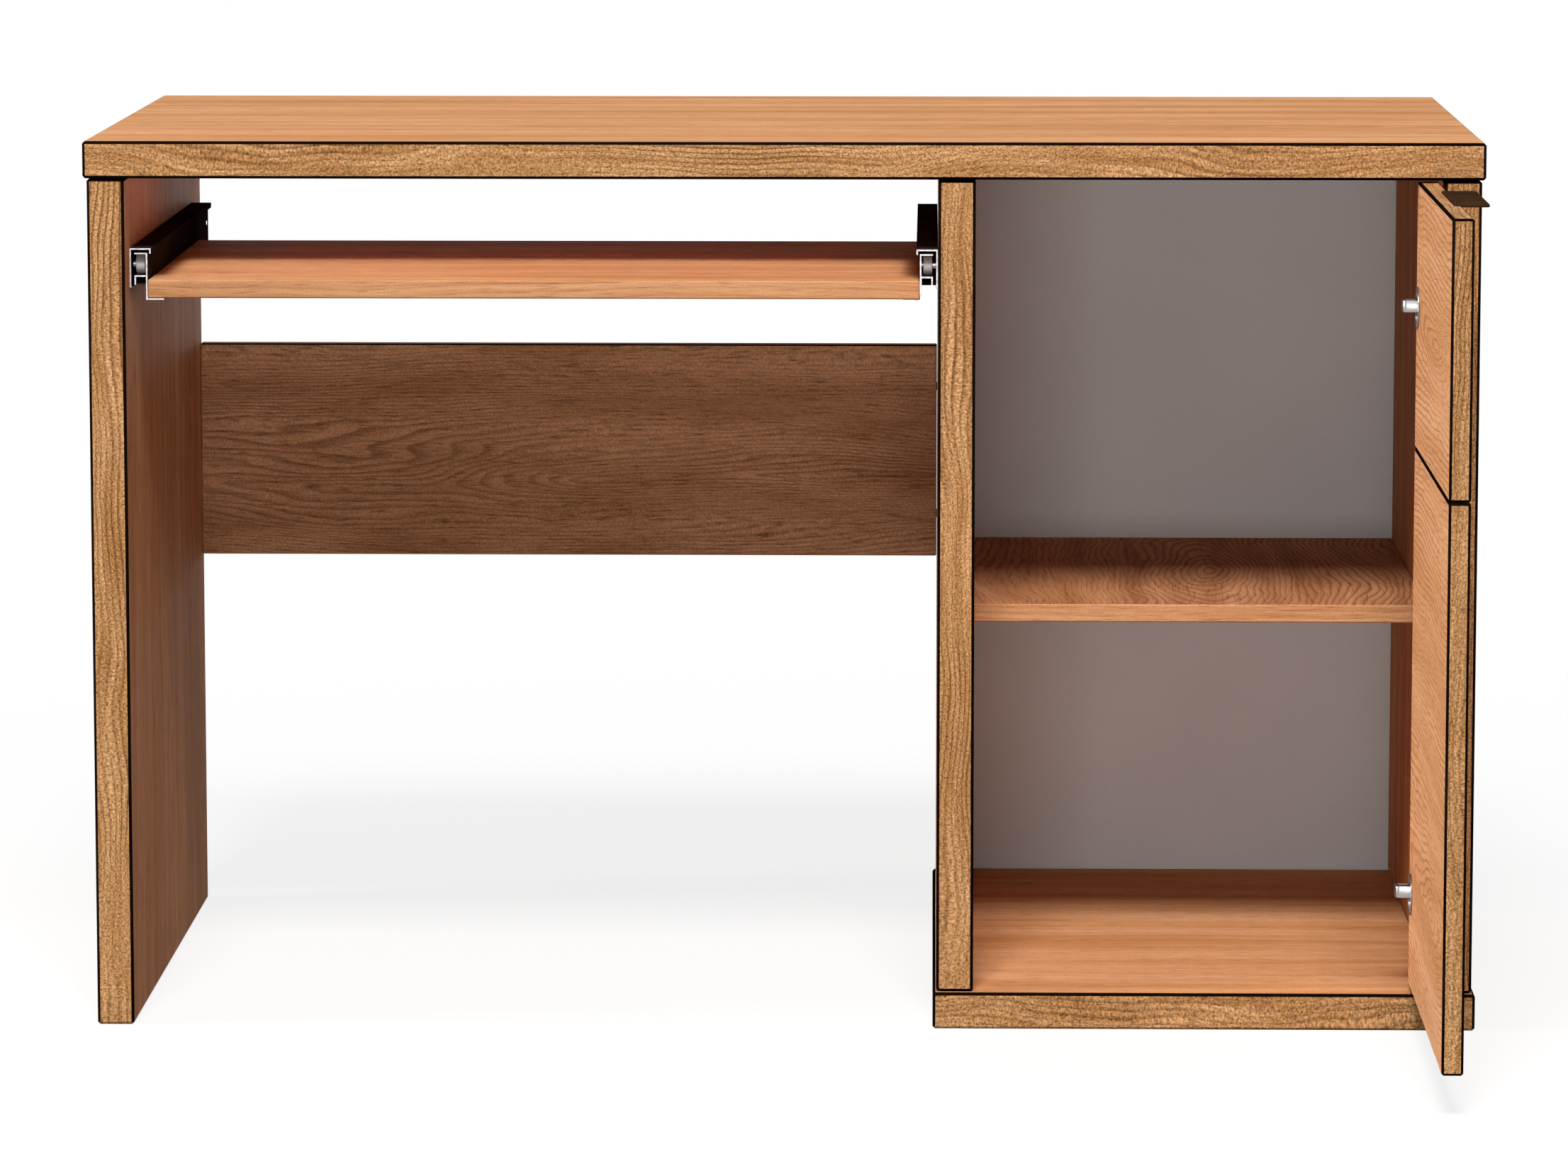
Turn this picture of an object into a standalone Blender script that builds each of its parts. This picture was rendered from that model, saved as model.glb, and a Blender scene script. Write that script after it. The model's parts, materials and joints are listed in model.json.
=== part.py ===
"""Office desk with a one-door cabinet and a pull-out keyboard tray.

Metres, +Z up. The desk faces -Y. The origin is on the floor, in the middle of
the desk's box as it stands with the cabinet door open at a right angle.
"""

import math

import bmesh
import bpy
from mathutils import Matrix
from mathutils import Vector

# Overall size
DESK_WIDTH = 1.200
DESK_DEPTH = 0.620
DESK_HEIGHT = 0.770

# Boards
THICK_BOARD = 0.032
THIN_BOARD = 0.016
DOOR_BOARD = 0.018
BACK_SHEET = 0.003
THICK_CHAMFER = 0.002
DOOR_CHAMFER = 0.0017
THIN_CHAMFER = 0.0008
SIDE_OVERHANG = 0.003
FRONT_OVERHANG = 0.004
SEAT_GAP = 0.0003

# Cabinet
CABINET_OPENING = 0.400
SHELF_RISE = 0.3195
SHELF_SETBACK = 0.149
SHEET_INSET = 0.002
MODESTY_DROP = 0.2015
MODESTY_HEIGHT = 0.201

# Dowels and shelf pins
DOWEL_RADIUS = 0.004
DOWEL_FIT = 0.0003
DOWEL_END_GAP = 0.001
DOWEL_SHALLOW = 0.014
DOWEL_DEEP = 0.022
DOWEL_INSET = 0.070
MODESTY_DOWEL_INSET = 0.040
PIN_RADIUS = 0.0025
PIN_DEPTH = 0.010
PIN_REACH = 0.008
PIN_INSET = 0.045

# Keyboard tray and its roller slides
TRAY_DROP = 0.090
TRAY_DEPTH = 0.405
TRAY_SETBACK = 0.037
TRAY_SIDE_ROOM = 0.016
RAIL_SHEET = 0.0013
RAIL_LENGTH = 0.500
RAIL_SETBACK = 0.038
CHANNEL_DROP = 0.063
CHANNEL_HEIGHT = 0.034
CHANNEL_COVER = 0.003
CHANNEL_TOP_LIP = 0.0046
CHANNEL_LOW_LIP = 0.0035
CHANNEL_RELIEF = 0.036
RUNNER_WIDTH = 0.0112
RUNNER_RISE = 0.0036
RUNNER_LIP = 0.0083
RUNNER_FOOT = 0.0156
FRONT_ROLLER_RADIUS = 0.0088
FRONT_ROLLER_WIDTH = 0.0078
FRONT_ROLLER_SETBACK = 0.016
REAR_ROLLER_RADIUS = 0.015
REAR_ROLLER_WIDTH = 0.0086
REAR_ROLLER_SETBACK = 0.020
AXLE_RADIUS = 0.002
AXLE_COLLAR = 0.0032
AXLE_HEAD = 0.001
AXLE_TAIL = 0.0008
ROLLER_EDGE_SHARE = 0.06
ROLLER_DISH_SHARE = 0.2
RUNNING_FIT = 0.0003

# Door
DOOR_SIDE_GAP = 0.0032
DOOR_TOP_GAP = 0.0025
DOOR_BOTTOM_GAP = 0.005
DOOR_RECESS = 0.002
DOOR_JOINT_DROP = 0.2314
HANDLE_LENGTH = 0.145
HANDLE_SEAT = 0.007
HANDLE_REACH = 0.022
HANDLE_PLATE = 0.0024
HANDLE_SUNK = 0.0012
HANDLE_CORNER = 0.004

# Concealed hinges, one pin each
HINGE_DROP = 0.109
HINGE_RISE = 0.0875
PIN_FROM_PANEL = 0.013
PIN_FROM_FACE = 0.0095
HINGE_PIN_RADIUS = 0.0014
HINGE_PIN_HALF = 0.0098
CUP_RADIUS = 0.0175
CUP_WALL = 0.0008
CUP_DEPTH = 0.013
CUP_RIM = 0.0182
CUP_RIM_PLATE = 0.001
CUP_EDGE = 0.004
ARM_SHEET = 0.0024
ARM_CRANK = 0.020
ARM_CRANK_BACK = 0.0145
ARM_BEND = 0.004
ARM_NECK_HALF = 0.005
ARM_EYE = 0.0028
ARM_BODY_HALF = 0.008
ARM_BODY_START = 0.018
ARM_BODY_END = 0.066
ARM_BODY_FACE = 0.0012
ARM_CHEEK = 0.0016
ARM_CHEEK_DEPTH = 0.0084
PLATE_SHEET = 0.002
PLATE_HALF = 0.023
PLATE_CENTRE = 0.026
PLATE_WIDTH = 0.018
PLATE_CHAMFER = 0.0005
PLATE_RAIL_HALF = 0.005
PLATE_RAIL_START = 0.020
PLATE_RAIL_END = 0.060

# Fineness of round shapes
ROUND = 32
SMALL_ROUND = 16
CORNER_STEPS = 4
CREASE_ANGLE = math.radians(35)
WELD = 0.00001

# Planes that the pieces share
RIGHT_OUTER = DESK_WIDTH / 2 - SIDE_OVERHANG
RIGHT_INNER = RIGHT_OUTER - THICK_BOARD
CENTRE_RIGHT = RIGHT_INNER - CABINET_OPENING
CENTRE_LEFT = CENTRE_RIGHT - THICK_BOARD
LEFT_OUTER = -RIGHT_OUTER
LEFT_INNER = LEFT_OUTER + THICK_BOARD
DOOR_WIDTH = CABINET_OPENING - 2 * DOOR_SIDE_GAP
HINGE_EDGE = PIN_FROM_PANEL - DOOR_SIDE_GAP
PANEL_TO_PIN = DOOR_RECESS + PIN_FROM_FACE
DOOR_REACH = DOOR_WIDTH - HINGE_EDGE - PANEL_TO_PIN - FRONT_OVERHANG
FRONT = (DOOR_REACH - DESK_DEPTH) / 2
BACK = FRONT + DESK_DEPTH
PANEL_FRONT = FRONT + FRONT_OVERHANG
PANEL_BACK = BACK - BACK_SHEET - SEAT_GAP
TOP_UNDER = DESK_HEIGHT - THICK_BOARD
BASE_TOP = THICK_BOARD
PANEL_TOP = TOP_UNDER - SEAT_GAP
PIVOT = Vector((RIGHT_INNER - PIN_FROM_PANEL, PANEL_FRONT + PANEL_TO_PIN, 0))
HINGE_HEIGHTS = {"upper": TOP_UNDER - HINGE_DROP, "lower": BASE_TOP + HINGE_RISE}
SHELF_TOP = BASE_TOP + SHELF_RISE
MODESTY_BOTTOM = TOP_UNDER - MODESTY_DROP - MODESTY_HEIGHT
CHANNEL_TOP = TOP_UNDER - CHANNEL_DROP
CHANNEL_BOTTOM = CHANNEL_TOP - CHANNEL_HEIGHT
RAIL_FRONT = FRONT + RAIL_SETBACK
RAIL_BACK = RAIL_FRONT + RAIL_LENGTH
TRAY_TOP = TOP_UNDER - TRAY_DROP
TRAY_UNDER = TRAY_TOP - THIN_BOARD


def clear_scene():
    for item in list(bpy.data.objects):
        bpy.data.objects.remove(item, do_unlink=True)


def new_collection(name):
    collection = bpy.data.collections.new(name)
    bpy.context.scene.collection.children.link(collection)
    return collection


def finish(name, colour, roughness, metallic=0.0):
    material = bpy.data.materials.new(name)
    material.use_nodes = True
    shader = material.node_tree.nodes["Principled BSDF"]
    shader.inputs["Base Color"].default_value = (*colour, 1.0)
    shader.inputs["Roughness"].default_value = roughness
    shader.inputs["Metallic"].default_value = metallic
    return material


clear_scene()
DESK = new_collection("office_desk")
CUTTERS = new_collection("cutters")

# Linear colours read off the object
ALDER = finish("alder_laminate", (0.52, 0.27, 0.13), 0.45)
GREY_BACK = finish("grey_hardboard", (0.17, 0.14, 0.13), 0.60)
BEECH = finish("beech_dowel", (0.58, 0.42, 0.24), 0.60)
BLACK_STEEL = finish("black_coated_steel", (0.012, 0.010, 0.010), 0.40)
NYLON = finish("grey_nylon", (0.27, 0.25, 0.26), 0.50)
ZINC = finish("bright_zinc", (0.62, 0.62, 0.62), 0.30, 1.0)
NICKEL = finish("nickel_plate", (0.66, 0.63, 0.58), 0.25, 1.0)
BROWN_METAL = finish("dark_brown_metal", (0.074, 0.032, 0.015), 0.40)


def place(name, mesh, material, centre=(0, 0, 0), parent=None):
    item = bpy.data.objects.new(name, mesh)
    DESK.objects.link(item)
    mesh.materials.append(material)
    if parent:
        item.parent = parent
        item.location = Vector(centre) - parent.location
    else:
        item.location = centre
    return item


def as_cutter(item):
    for collection in list(item.users_collection):
        collection.objects.unlink(item)
    CUTTERS.objects.link(item)
    item.hide_render = True
    item.display_type = "WIRE"
    return item


def boolean(item, other, operation):
    modifier = item.modifiers.new(operation.lower(), "BOOLEAN")
    modifier.operation = operation
    modifier.solver = "EXACT"
    modifier.object = as_cutter(other)


def box_mesh(name, low, high):
    size = Vector(high) - Vector(low)
    shape = bmesh.new()
    bmesh.ops.create_cube(shape, size=1.0)
    bmesh.ops.scale(shape, vec=size, verts=shape.verts)
    mesh = bpy.data.meshes.new(name)
    shape.to_mesh(mesh)
    shape.free()
    return mesh


def board(name, low, high, material, chamfer=0.0, parent=None):
    centre = (Vector(low) + Vector(high)) / 2
    item = place(name, box_mesh(name, low, high), material, centre, parent)
    if chamfer:
        bevel = item.modifiers.new("chamfer", "BEVEL")
        bevel.width = chamfer
        bevel.segments = 1
        bevel.limit_method = "ANGLE"
    return item


def cutter_box(name, low, high):
    cutter = bpy.data.objects.new(name, box_mesh(name, low, high))
    cutter.location = (Vector(low) + Vector(high)) / 2
    return cutter


def rod_mesh(name, rods):
    """One mesh of round rods, each given as start, direction, length, radius and sides."""
    shape = bmesh.new()
    for start, direction, length, radius, sides in rods:
        turn = Vector(direction).to_track_quat("Z", "Y").to_matrix().to_4x4()
        middle = Vector(start) + Vector(direction).normalized() * length / 2
        bmesh.ops.create_cone(
            shape,
            cap_ends=True,
            segments=sides,
            radius1=radius,
            radius2=radius,
            depth=length,
            matrix=Matrix.Translation(middle) @ turn,
        )
    mesh = bpy.data.meshes.new(name)
    shape.to_mesh(mesh)
    shape.free()
    return mesh


def rod(name, start, direction, length, radius, material, centre, parent=None):
    """A plain round rod as a piece, from start along direction, about centre."""
    mesh = rod_mesh(name, [(start, direction, length, radius, SMALL_ROUND)])
    mesh.shade_smooth()
    mesh.set_sharp_from_angle(angle=CREASE_ANGLE)
    return place(name, mesh, material, centre, parent)


def turned(name, profile, material, centre, axis, parent=None, closed=False, steps=ROUND):
    """A turned piece: profile points are (radius, height along the axis)."""
    mesh = bpy.data.meshes.new(name)
    points = [(radius, 0, height) for radius, height in profile]
    edges = [(i, i + 1) for i in range(len(points) - 1)]
    if closed:
        edges.append((len(points) - 1, 0))
    mesh.from_pydata(points, edges, [])
    item = place(name, mesh, material, centre, parent)
    item.rotation_mode = "QUATERNION"
    item.rotation_quaternion = Vector(axis).to_track_quat("Z", "Y")
    screw = item.modifiers.new("turn", "SCREW")
    screw.steps = steps
    screw.render_steps = steps
    screw.use_merge_vertices = True
    screw.merge_threshold = WELD
    screw.use_smooth_shade = True
    return item


def rounded(corners):
    """Outline points with each corner (x, y, radius) rounded by an arc."""
    points = []
    count = len(corners)
    for i, (x, y, radius) in enumerate(corners):
        here = Vector((x, y))
        before = (Vector(corners[i - 1][:2]) - here).normalized()
        after = (Vector(corners[(i + 1) % count][:2]) - here).normalized()
        if not radius:
            points.append(here)
            continue
        half = before.angle(after) / 2
        middle = here + (before + after).normalized() * radius / math.sin(half)
        first = here + before * radius / math.tan(half) - middle
        last = here + after * radius / math.tan(half) - middle
        sweep = first.angle_signed(last)
        for step in range(CORNER_STEPS + 1):
            turn = Matrix.Rotation(-sweep * step / CORNER_STEPS, 2)
            points.append(middle + turn @ first)
    return points


def extruded(name, outline, depth, material, matrix, parent=None):
    """A flat outline filled, given depth along its own Z, made a mesh and placed by matrix."""
    curve = bpy.data.curves.new(name + "_outline", "CURVE")
    curve.dimensions = "2D"
    curve.fill_mode = "BOTH"
    curve.extrude = depth / 2
    spline = curve.splines.new("POLY")
    spline.points.add(len(outline) - 1)
    for point, place_at in zip(spline.points, outline):
        point.co = (place_at[0], place_at[1], 0, 1)
    spline.use_cyclic_u = True
    guide = bpy.data.objects.new(name + "_guide", curve)
    CUTTERS.objects.link(guide)
    graph = bpy.context.evaluated_depsgraph_get()
    mesh = bpy.data.meshes.new_from_object(guide.evaluated_get(graph))
    bpy.data.objects.remove(guide, do_unlink=True)
    shape = bmesh.new()
    shape.from_mesh(mesh)
    bmesh.ops.remove_doubles(shape, verts=shape.verts, dist=WELD)
    bmesh.ops.transform(shape, matrix=matrix.to_3x3().to_4x4(), verts=shape.verts)
    bmesh.ops.recalc_face_normals(shape, faces=shape.faces)
    shape.to_mesh(mesh)
    shape.free()
    mesh.name = name
    mesh.materials.clear()
    return place(name, mesh, material, matrix.translation, parent)


def axis_empty(name, location):
    empty = bpy.data.objects.new(name, None)
    DESK.objects.link(empty)
    empty.location = location
    return empty


class Bores:
    """Blind bores gathered for each board, then cut out of it in one go."""

    def __init__(self):
        self.rods = {}

    def add(self, item, mouth, inward, depth, radius, sides=SMALL_ROUND):
        inward = Vector(inward)
        start = Vector(mouth) - inward * DOWEL_END_GAP
        bore = (start, inward, depth + DOWEL_END_GAP, radius, sides)
        self.rods.setdefault(item, []).append(bore)

    def cut(self):
        for item, rods in self.rods.items():
            name = item.name + "_bores"
            cutter = bpy.data.objects.new(name, rod_mesh(name, rods))
            boolean(item, cutter, "DIFFERENCE")


BORES = Bores()


def dowel(name, point, direction, first, depth_first, second, depth_second, parent=None):
    """A dowel across the seam at point, depth_first behind it and depth_second past it."""
    direction = Vector(direction)
    point = Vector(point)
    BORES.add(first, point, -direction, depth_first, DOWEL_RADIUS + DOWEL_FIT)
    BORES.add(second, point, direction, depth_second, DOWEL_RADIUS + DOWEL_FIT)
    length = depth_first + depth_second - 2 * DOWEL_END_GAP
    start = -direction * (depth_first - DOWEL_END_GAP)
    rod(name, start, direction, length, DOWEL_RADIUS, BEECH, point, parent)


def carcass():
    """Fixed boards, their dowels, and the shelf on its pins."""
    half = DESK_WIDTH / 2
    top = board(
        "desk_top",
        (-half, FRONT, TOP_UNDER),
        (half, BACK, DESK_HEIGHT),
        ALDER,
        THICK_CHAMFER,
    )
    base = board(
        "base_board",
        (CENTRE_LEFT - SIDE_OVERHANG, FRONT, 0),
        (half, PANEL_BACK, BASE_TOP),
        ALDER,
        THICK_CHAMFER,
    )
    panels = {}
    for name, left_x, foot in (
        ("left_side_panel", LEFT_OUTER, 0),
        ("centre_panel", CENTRE_LEFT, BASE_TOP + SEAT_GAP),
        ("right_side_panel", RIGHT_INNER, BASE_TOP + SEAT_GAP),
    ):
        panels[name] = board(
            name,
            (left_x, PANEL_FRONT, foot),
            (left_x + THICK_BOARD, PANEL_BACK, PANEL_TOP),
            ALDER,
            THICK_CHAMFER,
        )
        middle = left_x + THICK_BOARD / 2
        for end, y in (
            ("front", PANEL_FRONT + DOWEL_INSET),
            ("rear", PANEL_BACK - DOWEL_INSET),
        ):
            dowel(
                name.replace("_panel", "") + "_top_dowel_" + end,
                (middle, y, TOP_UNDER),
                (0, 0, 1),
                panels[name],
                DOWEL_DEEP,
                top,
                DOWEL_SHALLOW,
            )
            if foot:
                dowel(
                    name.replace("_panel", "") + "_base_dowel_" + end,
                    (middle, y, BASE_TOP),
                    (0, 0, 1),
                    base,
                    DOWEL_SHALLOW,
                    panels[name],
                    DOWEL_DEEP,
                )
    modesty = board(
        "modesty_panel",
        (LEFT_INNER + SEAT_GAP, PANEL_BACK - THIN_BOARD, MODESTY_BOTTOM),
        (CENTRE_LEFT - SEAT_GAP, PANEL_BACK, MODESTY_BOTTOM + MODESTY_HEIGHT),
        ALDER,
        THIN_CHAMFER,
    )
    for side, x, outward, panel in (
        ("left", LEFT_INNER, -1, panels["left_side_panel"]),
        ("centre", CENTRE_LEFT, 1, panels["centre_panel"]),
    ):
        for end, z in (
            ("low", MODESTY_BOTTOM + MODESTY_DOWEL_INSET),
            ("high", MODESTY_BOTTOM + MODESTY_HEIGHT - MODESTY_DOWEL_INSET),
        ):
            dowel(
                "modesty_" + side + "_dowel_" + end,
                (x, PANEL_BACK - THIN_BOARD / 2, z),
                (outward, 0, 0),
                modesty,
                DOWEL_DEEP,
                panel,
                DOWEL_SHALLOW,
            )
    board(
        "cabinet_back_panel",
        (CENTRE_LEFT + THICK_BOARD / 2, BACK - BACK_SHEET, SHEET_INSET),
        (RIGHT_OUTER - SHEET_INSET, BACK, PANEL_TOP),
        GREY_BACK,
    )
    shelf_front = PANEL_FRONT + SHELF_SETBACK
    shelf_under = SHELF_TOP - THIN_BOARD
    board(
        "cabinet_shelf",
        (CENTRE_RIGHT + SEAT_GAP, shelf_front, shelf_under),
        (RIGHT_INNER - SEAT_GAP, PANEL_BACK, SHELF_TOP),
        ALDER,
        THIN_CHAMFER,
    )
    for side, x, inward, panel in (
        ("left", CENTRE_RIGHT, 1, panels["centre_panel"]),
        ("right", RIGHT_INNER, -1, panels["right_side_panel"]),
    ):
        for end, y in (
            ("front", shelf_front + PIN_INSET),
            ("rear", PANEL_BACK - PIN_INSET),
        ):
            name = "shelf_pin_" + end + "_" + side
            point = Vector((x, y, shelf_under - SEAT_GAP - PIN_RADIUS))
            into = Vector((-inward, 0, 0))
            BORES.add(panel, point, into, PIN_DEPTH, PIN_RADIUS + DOWEL_FIT)
            start = into * (PIN_DEPTH - DOWEL_FIT)
            length = PIN_DEPTH - DOWEL_FIT + PIN_REACH
            rod(name, start, -into, length, PIN_RADIUS, ZINC, point)


def roller(name, radius, width, centre, parent):
    """A grooved nylon wheel with a bored hub, turned about X."""
    half = width / 2
    edge = radius * ROLLER_EDGE_SHARE
    bore = AXLE_RADIUS + RUNNING_FIT
    hub = AXLE_COLLAR + edge
    dish = width * ROLLER_DISH_SHARE
    profile = [
        (bore, half),
        (hub, half),
        (hub + edge, half - dish),
        (radius - 3 * edge, half - dish),
        (radius - 2 * edge, half),
        (radius - edge, half),
        (radius, half - edge),
        (radius, edge - half),
        (radius - edge, -half),
        (bore, -half),
    ]
    return turned(name, profile, NYLON, centre, (1, 0, 0), parent, closed=True)


def slides():
    """The keyboard tray with a roller slide at each end."""
    tray_front = FRONT + TRAY_SETBACK
    slide = axis_empty("tray_slide", (0, tray_front, TRAY_TOP))
    board(
        "keyboard_tray",
        (LEFT_INNER + TRAY_SIDE_ROOM, tray_front, TRAY_UNDER),
        (CENTRE_LEFT - TRAY_SIDE_ROOM, tray_front + TRAY_DEPTH, TRAY_TOP),
        ALDER,
        THIN_CHAMFER,
        slide,
    )
    for side, panel_x, sign in (("left", LEFT_INNER, 1), ("right", CENTRE_LEFT, -1)):
        slide_pair(side, panel_x, sign, slide)


def slide_pair(side, panel_x, sign, slide):
    """One roller slide; distances out run from the panel face towards the tray."""
    sheet = RAIL_SHEET

    def across(points):
        return [(panel_x + sign * out, z) for out, z in points]

    def slab(name, low, high):
        xs = sorted((panel_x + sign * low[0], panel_x + sign * high[0]))
        return cutter_box(name + side, (xs[0], *low[1:]), (xs[1], *high[1:]))

    along_y = Matrix.Rotation(math.pi / 2, 4, "X")
    middle = Matrix.Translation((0, (RAIL_FRONT + RAIL_BACK) / 2, 0)) @ along_y

    web_out = TRAY_SIDE_ROOM - SEAT_GAP
    web_in = web_out - sheet

    # Cabinet rail: a channel on the panel whose top flange covers the tray rail
    near = SEAT_GAP
    far = web_out + CHANNEL_COVER
    low_far = web_in - RUNNING_FIT
    low = CHANNEL_BOTTOM
    high = CHANNEL_TOP
    channel = [
        (near, low),
        (low_far, low),
        (low_far, low + CHANNEL_LOW_LIP),
        (low_far - sheet, low + CHANNEL_LOW_LIP),
        (low_far - sheet, low + sheet),
        (near + sheet, low + sheet),
        (near + sheet, high - sheet),
        (far - sheet, high - sheet),
        (far - sheet, high - CHANNEL_TOP_LIP),
        (far, high - CHANNEL_TOP_LIP),
        (far, high),
        (near, high),
    ]
    rail = extruded(
        "cabinet_rail_" + side, across(channel), RAIL_LENGTH, BLACK_STEEL, middle
    )
    relief = slab(
        "relief_",
        (near + sheet + RUNNING_FIT, RAIL_FRONT - sheet, low - sheet),
        (far, RAIL_FRONT + CHANNEL_RELIEF, low + CHANNEL_LOW_LIP + sheet),
    )
    boolean(rail, relief, "DIFFERENCE")

    # Tray rail: two running flanges with the front roller held between them, a web and a foot
    foot_top = TRAY_UNDER - SEAT_GAP
    low_run = TRAY_TOP + RUNNER_RISE
    front_roller_z = low_run + RUNNING_FIT + FRONT_ROLLER_RADIUS
    top_run = front_roller_z + FRONT_ROLLER_RADIUS + RUNNING_FIT
    run_edge = web_out - RUNNER_WIDTH
    runner = [
        (run_edge, low_run - RUNNER_LIP),
        (run_edge + sheet, low_run - RUNNER_LIP),
        (run_edge + sheet, low_run - sheet),
        (web_in, low_run - sheet),
        (web_in, foot_top - sheet),
        (web_in + RUNNER_FOOT, foot_top - sheet),
        (web_in + RUNNER_FOOT, foot_top),
        (web_out, foot_top),
        (web_out, top_run + sheet),
        (run_edge, top_run + sheet),
        (run_edge, top_run),
        (web_in, top_run),
        (web_in, low_run),
        (run_edge, low_run),
    ]
    tray_rail = extruded(
        "tray_rail_" + side, across(runner), RAIL_LENGTH, BLACK_STEEL, middle, slide
    )
    rear_roller_y = RAIL_BACK - REAR_ROLLER_SETBACK
    rear_roller_z = CHANNEL_BOTTOM + sheet + RUNNING_FIT + REAR_ROLLER_RADIUS
    room = slab(
        "room_",
        (
            run_edge - sheet,
            rear_roller_y - REAR_ROLLER_RADIUS - AXLE_COLLAR,
            low_run - RUNNER_LIP - sheet,
        ),
        (web_in - RUNNING_FIT, RAIL_BACK + sheet, top_run + 2 * sheet),
    )
    boolean(tray_rail, room, "DIFFERENCE")

    # Rollers on riveted axles, the front pair on the cabinet rails, the rear pair on the tray rails
    outward = (sign, 0, 0)
    front_y = RAIL_FRONT + FRONT_ROLLER_SETBACK
    front_end = web_in - AXLE_HEAD - 2 * RUNNING_FIT
    front_start = front_end - FRONT_ROLLER_WIDTH
    front_at = Vector((panel_x, front_y, front_roller_z))
    rear_at = Vector((panel_x, rear_roller_y, rear_roller_z))
    BORES.add(
        rail,
        front_at + Vector(outward) * near,
        outward,
        2 * sheet,
        AXLE_RADIUS + RUNNING_FIT,
    )
    BORES.add(
        tray_rail,
        rear_at + Vector(outward) * web_in,
        outward,
        2 * sheet,
        AXLE_RADIUS + RUNNING_FIT,
    )
    wheel = front_at + Vector(outward) * (front_start + FRONT_ROLLER_WIDTH / 2)
    roller(
        "front_roller_" + side, FRONT_ROLLER_RADIUS, FRONT_ROLLER_WIDTH, wheel, None
    )
    collar_start = near + sheet + 2 * RUNNING_FIT
    collar_end = front_start - RUNNING_FIT
    head_start = front_end + RUNNING_FIT
    axle = [
        (0, head_start + AXLE_HEAD),
        (AXLE_COLLAR, head_start + AXLE_HEAD),
        (AXLE_COLLAR, head_start),
        (AXLE_RADIUS, head_start),
        (AXLE_RADIUS, collar_end),
        (AXLE_COLLAR, collar_end),
        (AXLE_COLLAR, collar_start),
        (AXLE_RADIUS, collar_start),
        (AXLE_RADIUS, 2 * near),
        (0, 2 * near),
    ]
    turned("front_axle_" + side, axle, ZINC, front_at, outward, steps=SMALL_ROUND)

    rear_start = near + sheet + AXLE_HEAD + 3 * RUNNING_FIT
    rear_end = rear_start + REAR_ROLLER_WIDTH
    wheel = rear_at + Vector(outward) * (rear_start + REAR_ROLLER_WIDTH / 2)
    roller(
        "rear_roller_" + side, REAR_ROLLER_RADIUS, REAR_ROLLER_WIDTH, wheel, slide
    )
    head_top = rear_start - RUNNING_FIT
    spacer_start = rear_end + RUNNING_FIT
    spacer_end = web_in - RUNNING_FIT
    axle = [
        (0, web_out + AXLE_TAIL),
        (AXLE_RADIUS, web_out + AXLE_TAIL),
        (AXLE_RADIUS, spacer_end),
        (AXLE_COLLAR, spacer_end),
        (AXLE_COLLAR, spacer_start),
        (AXLE_RADIUS, spacer_start),
        (AXLE_RADIUS, head_top),
        (AXLE_COLLAR, head_top),
        (AXLE_COLLAR, head_top - AXLE_HEAD),
        (0, head_top - AXLE_HEAD),
    ]
    turned("rear_axle_" + side, axle, ZINC, rear_at, outward, slide, steps=SMALL_ROUND)


def door(swing):
    """The door, drawn open at a right angle: two boards, a pull plate and the hinge cups."""
    outer = PIVOT.x + PIN_FROM_FACE
    inner = outer - DOOR_BOARD
    hinge_edge = PIVOT.y + HINGE_EDGE
    free_edge = hinge_edge - DOOR_WIDTH
    bottom = BASE_TOP + DOOR_BOTTOM_GAP
    top = TOP_UNDER - DOOR_TOP_GAP
    joint = TOP_UNDER - DOOR_JOINT_DROP
    boards = {}
    for name, low, high in (
        ("door_lower_board", bottom, joint - SEAT_GAP / 2),
        ("door_upper_board", joint + SEAT_GAP / 2, top),
    ):
        boards[name] = board(
            name,
            (inner, free_edge, low),
            (outer, hinge_edge, high),
            ALDER,
            DOOR_CHAMFER,
            swing,
        )
    lower = boards["door_lower_board"]
    upper = boards["door_upper_board"]
    middle_y = (hinge_edge + free_edge) / 2
    for place_name, y in (
        ("hinge_side", hinge_edge - DOWEL_INSET),
        ("middle", middle_y),
        ("free_side", free_edge + DOWEL_INSET),
    ):
        dowel(
            "door_dowel_" + place_name,
            ((inner + outer) / 2, y, joint),
            (0, 0, 1),
            lower,
            DOWEL_DEEP,
            upper,
            DOWEL_DEEP,
            swing,
        )
    pull_plate(upper, outer, middle_y, top, swing)
    for name, z in HINGE_HEIGHTS.items():
        leaf = upper if z > joint else lower
        hinge_cup(name, z, leaf, inner, hinge_edge, swing)


def pull_plate(leaf, outer, middle_y, top, swing):
    """A flat pull let into the door's top edge, standing out past its face."""
    half = HANDLE_LENGTH / 2
    seat = top - HANDLE_SUNK
    inside = outer - HANDLE_SEAT
    outside = outer + HANDLE_REACH
    corners = [
        (inside, middle_y - half, 0),
        (outside, middle_y - half, HANDLE_CORNER),
        (outside, middle_y + half, HANDLE_CORNER),
        (inside, middle_y + half, 0),
    ]
    level = Matrix.Translation((0, 0, seat + SEAT_GAP + HANDLE_PLATE / 2))
    extruded(
        "door_pull_plate", rounded(corners), HANDLE_PLATE, BROWN_METAL, level, swing
    )
    notch = cutter_box(
        "pull_notch",
        (inside - SEAT_GAP, middle_y - half - SEAT_GAP, seat),
        (outside, middle_y + half + SEAT_GAP, top + HANDLE_PLATE),
    )
    boolean(leaf, notch, "DIFFERENCE")


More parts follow.
